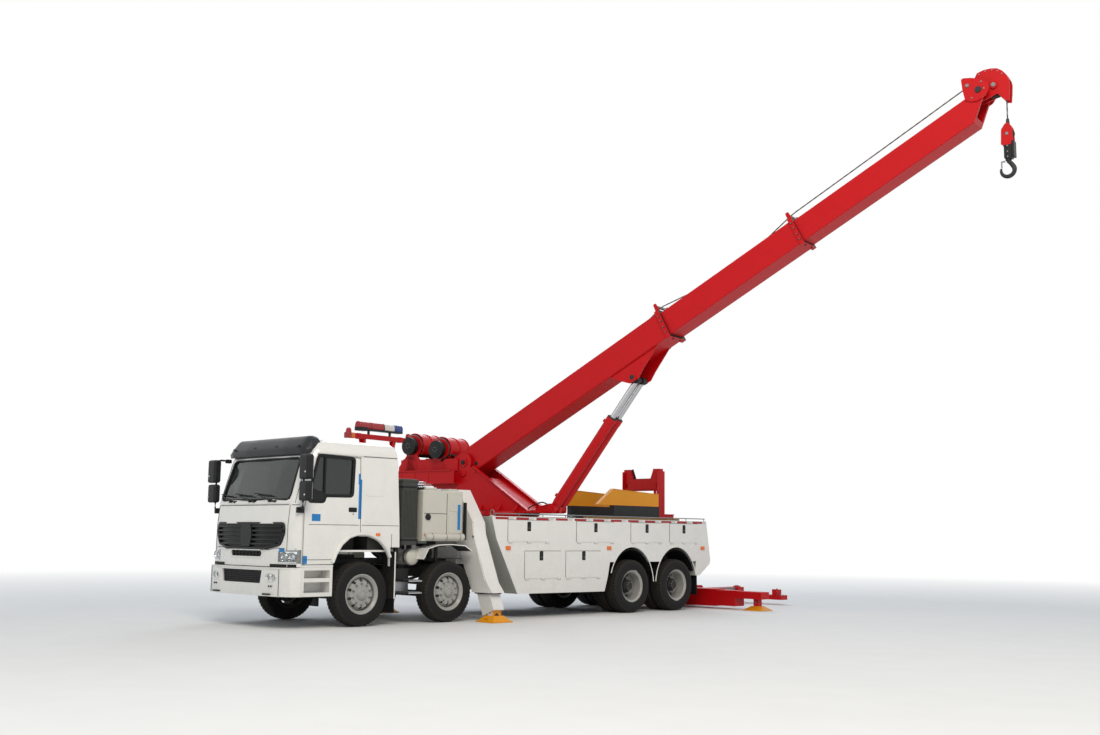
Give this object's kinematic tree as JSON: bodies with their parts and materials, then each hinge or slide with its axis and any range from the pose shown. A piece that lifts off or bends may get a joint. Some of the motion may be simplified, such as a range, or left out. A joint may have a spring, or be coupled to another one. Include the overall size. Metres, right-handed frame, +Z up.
{
  "type": "heavy recovery truck",
  "caption": "Four-axle tow truck with white cab and locker body, slewing red telescopic boom raised to one side, outrigger legs down and a wheel-lift bar at the tail",
  "frame": {"origin": "middle of the bounding box, at ground level", "axes": "+X to the vehicle's left, +Y to its rear, +Z up; the boom points 80 degrees from +Y towards +X"},
  "size_m": [13.0579, 13.05, 8.7235],
  "materials": {
    "white_paint": "painted",
    "red_paint": "painted",
    "grey_paint": "painted",
    "frame_paint": "painted",
    "yellow_paint": "painted",
    "wheel_paint": "painted",
    "black_plastic": "as made",
    "dark_grey_plastic": "as made",
    "lamp_lens": "as made",
    "glass": "as made",
    "tyre": "as made",
    "chrome_rod": "as made",
    "cast_steel": "as made",
    "interior": "as made",
    "hook_steel": "painted",
    "beacon": "as made"
  },
  "bodies": {
    "chassis": {"frame": "frame_paint", "axles": "cast_steel", "cab_shell": "white_paint", "windscreen": "glass", "cab_trim": "dark_grey_plastic", "grilles": "black_plastic", "bumper": "white_paint", "lamps": "lamp_lens", "cab_steps": "white_paint", "cab_interior": "interior", "tank_cabinet": "grey_paint", "air_cleaner": "black_plastic", "leg_housings": "white_paint", "recovery_body": "white_paint", "boom_cradle": "red_paint", "deck_skid": "yellow_paint"},
    "cab_door_left": {"cab_door_left": "white_paint", "door_glass_left": "glass"},
    "cab_door_right": {"cab_door_right": "white_paint", "door_glass_right": "glass"},
    "upper_flaps_left": {"upper_flaps_left": "white_paint"},
    "upper_flaps_right": {"upper_flaps_right": "white_paint"},
    "lower_flaps_left": {"lower_flaps_left": "white_paint"},
    "lower_flaps_right": {"lower_flaps_right": "white_paint"},
    "superstructure": {"superstructure": "red_paint", "light_bar": "beacon"},
    "winch_drum_front": {"winch_drum_front": "red_paint"},
    "winch_drum_rear": {"winch_drum_rear": "red_paint"},
    "boom_base": {"boom_base": "red_paint"},
    "boom_mid": {"boom_mid": "red_paint"},
    "boom_tip": {"boom_tip": "red_paint"},
    "hook_block": {"hook_block": "hook_steel"},
    "lift_barrels": {"lift_barrels": "red_paint"},
    "lift_rods": {"lift_rods": "chrome_rod"},
    "front_leg_left": {"front_leg_left": "white_paint"},
    "front_leg_right": {"front_leg_right": "white_paint"},
    "underlift_carriage": {"underlift_carriage": "red_paint"},
    "rear_stab_left": {"rear_stab_left": "white_paint"},
    "rear_stab_right": {"rear_stab_right": "white_paint"},
    "stinger": {"stinger": "red_paint"},
    "knuckle_1_left": {"knuckle_axle_1_left": "cast_steel"},
    "wheel_1_left": {"tyre_axle_1_left": "tyre", "rim_axle_1_left": "wheel_paint"},
    "knuckle_1_right": {"knuckle_axle_1_right": "cast_steel"},
    "wheel_1_right": {"tyre_axle_1_right": "tyre", "rim_axle_1_right": "wheel_paint"},
    "knuckle_2_left": {"knuckle_axle_2_left": "cast_steel"},
    "wheel_2_left": {"tyre_axle_2_left": "tyre", "rim_axle_2_left": "wheel_paint"},
    "knuckle_2_right": {"knuckle_axle_2_right": "cast_steel"},
    "wheel_2_right": {"tyre_axle_2_right": "tyre", "rim_axle_2_right": "wheel_paint"},
    "wheels_3_left": {"tyres_axle_3_left": "tyre", "rims_axle_3_left": "wheel_paint"},
    "wheels_3_right": {"tyres_axle_3_right": "tyre", "rims_axle_3_right": "wheel_paint"},
    "wheels_4_left": {"tyres_axle_4_left": "tyre", "rims_axle_4_left": "wheel_paint"},
    "wheels_4_right": {"tyres_axle_4_right": "tyre", "rims_axle_4_right": "wheel_paint"}
  },
  "joints": [
    {"name": "steer_1_left", "type": "hinge", "parent": "chassis", "child": "knuckle_1_left", "pos_m": [-2.06436, -5.025, 0.512], "axis": [0, 0, 1], "range_deg": [-38, 38]},
    {"name": "roll_1_left", "type": "hinge", "parent": "knuckle_1_left", "child": "wheel_1_left", "pos_m": [-1.94386, -5.025, 0.512], "axis": [1, 0, 0], "continuous": true},
    {"name": "steer_1_right", "type": "hinge", "parent": "chassis", "child": "knuckle_1_right", "pos_m": [-3.86436, -5.025, 0.512], "axis": [0, 0, 1], "range_deg": [-38, 38]},
    {"name": "roll_1_right", "type": "hinge", "parent": "knuckle_1_right", "child": "wheel_1_right", "pos_m": [-3.98486, -5.025, 0.512], "axis": [1, 0, 0], "continuous": true},
    {"name": "steer_2_left", "type": "hinge", "parent": "chassis", "child": "knuckle_2_left", "pos_m": [-2.06436, -3.225, 0.512], "axis": [0, 0, 1], "range_deg": [-27, 27]},
    {"name": "roll_2_left", "type": "hinge", "parent": "knuckle_2_left", "child": "wheel_2_left", "pos_m": [-1.94386, -3.225, 0.512], "axis": [1, 0, 0], "continuous": true},
    {"name": "steer_2_right", "type": "hinge", "parent": "chassis", "child": "knuckle_2_right", "pos_m": [-3.86436, -3.225, 0.512], "axis": [0, 0, 1], "range_deg": [-27, 27]},
    {"name": "roll_2_right", "type": "hinge", "parent": "knuckle_2_right", "child": "wheel_2_right", "pos_m": [-3.98486, -3.225, 0.512], "axis": [1, 0, 0], "continuous": true},
    {"name": "roll_3_left", "type": "hinge", "parent": "chassis", "child": "wheels_3_left", "pos_m": [-2.03436, 1.375, 0.512], "axis": [1, 0, 0], "continuous": true},
    {"name": "roll_3_right", "type": "hinge", "parent": "chassis", "child": "wheels_3_right", "pos_m": [-3.89436, 1.375, 0.512], "axis": [1, 0, 0], "continuous": true},
    {"name": "roll_4_left", "type": "hinge", "parent": "chassis", "child": "wheels_4_left", "pos_m": [-2.03436, 2.725, 0.512], "axis": [1, 0, 0], "continuous": true},
    {"name": "roll_4_right", "type": "hinge", "parent": "chassis", "child": "wheels_4_right", "pos_m": [-3.89436, 2.725, 0.512], "axis": [1, 0, 0], "continuous": true},
    {"name": "cab_door_left", "type": "hinge", "parent": "chassis", "child": "cab_door_left", "pos_m": [-1.73436, -6.22, 1.5], "axis": [0, 0, -1], "range_deg": [0, 70]},
    {"name": "cab_door_right", "type": "hinge", "parent": "chassis", "child": "cab_door_right", "pos_m": [-4.19436, -6.22, 1.5], "axis": [0, 0, 1], "range_deg": [0, 70]},
    {"name": "upper_flaps_left", "type": "hinge", "parent": "chassis", "child": "upper_flaps_left", "pos_m": [-1.71436, -0.025, 1.346], "axis": [0, 1, 0], "range_deg": [0, 90]},
    {"name": "upper_flaps_right", "type": "hinge", "parent": "chassis", "child": "upper_flaps_right", "pos_m": [-4.21436, -0.025, 1.346], "axis": [0, -1, 0], "range_deg": [0, 90]},
    {"name": "lower_flaps_left", "type": "hinge", "parent": "chassis", "child": "lower_flaps_left", "pos_m": [-1.71436, -0.025, 0.69], "axis": [0, 1, 0], "range_deg": [0, 90]},
    {"name": "lower_flaps_right", "type": "hinge", "parent": "chassis", "child": "lower_flaps_right", "pos_m": [-4.21436, -0.025, 0.69], "axis": [0, -1, 0], "range_deg": [0, 90]},
    {"name": "slew", "type": "hinge", "parent": "chassis", "child": "superstructure", "pos_m": [-2.96436, -0.825, 1.84], "axis": [0, 0, 1], "continuous": true},
    {"name": "winch_front", "type": "hinge", "parent": "superstructure", "child": "winch_drum_front", "pos_m": [-4.38642, -1.07575, 3.121], "axis": [0.1736, -0.9848, 0], "continuous": true},
    {"name": "winch_rear", "type": "hinge", "parent": "superstructure", "child": "winch_drum_rear", "pos_m": [-5.08662, -1.19921, 3.212], "axis": [0.1736, -0.9848, 0], "continuous": true},
    {"name": "boom_lift", "type": "hinge", "parent": "superstructure", "child": "boom_base", "pos_m": [-3.78667, -0.97, 2.86], "axis": [-0.1736, 0.9848, 0], "range_deg": [-22, 26]},
    {"name": "lift_barrels", "type": "hinge", "parent": "superstructure", "child": "lift_barrels", "pos_m": [-1.82198, -0.62357, 1.975], "axis": [-0.1736, 0.9848, 0], "range_deg": [-28.17, 33.29]},
    {"name": "lift_rods", "type": "slide", "parent": "lift_barrels", "child": "lift_rods", "axis": [-0.6081, -0.1072, -0.7866], "range_m": [-0.6225, 0.7355]},
    {"name": "boom_mid", "type": "slide", "parent": "boom_base", "child": "boom_mid", "axis": [0.8706, 0.1535, 0.4675], "range_m": [-2.4, 0.7]},
    {"name": "boom_tip", "type": "slide", "parent": "boom_mid", "child": "boom_tip", "axis": [0.8706, 0.1535, 0.4675], "range_m": [-2.9, 0.5]},
    {"name": "hook_swing", "type": "hinge", "parent": "boom_tip", "child": "hook_block", "pos_m": [6.25992, 0.80149, 8.44692], "axis": [0.1736, -0.9848, 0], "range_deg": [-34, 40]},
    {"name": "front_leg_left", "type": "slide", "parent": "chassis", "child": "front_leg_left", "axis": [-0.3827, 0, 0.9239], "range_m": [0, 0.38]},
    {"name": "front_leg_right", "type": "slide", "parent": "chassis", "child": "front_leg_right", "axis": [0.3827, 0, 0.9239], "range_m": [0, 0.38]},
    {"name": "underlift_lift", "type": "slide", "parent": "chassis", "child": "underlift_carriage", "axis": [0, 0, 1], "range_m": [0, 0.6]},
    {"name": "rear_stab_left", "type": "slide", "parent": "underlift_carriage", "child": "rear_stab_left", "axis": [-1, 0, 0], "range_m": [0, 0.5]},
    {"name": "rear_stab_right", "type": "slide", "parent": "underlift_carriage", "child": "rear_stab_right", "axis": [1, 0, 0], "range_m": [0, 0.5]},
    {"name": "underlift_reach", "type": "slide", "parent": "underlift_carriage", "child": "stinger", "axis": [0, -1, 0], "range_m": [0, 1.15]}
  ],
  "couplings": [
    {"joint": "steer_1_right", "follows": "steer_1_left", "ratio": 1},
    {"joint": "steer_2_left", "follows": "steer_1_left", "ratio": 0.7},
    {"joint": "steer_2_right", "follows": "steer_1_left", "ratio": 0.7},
    {"joint": "lift_barrels", "follows": "boom_lift", "ratio": 1.28},
    {"joint": "lift_rods", "follows": "boom_lift", "m_per_rad": 1.62}
  ]
}
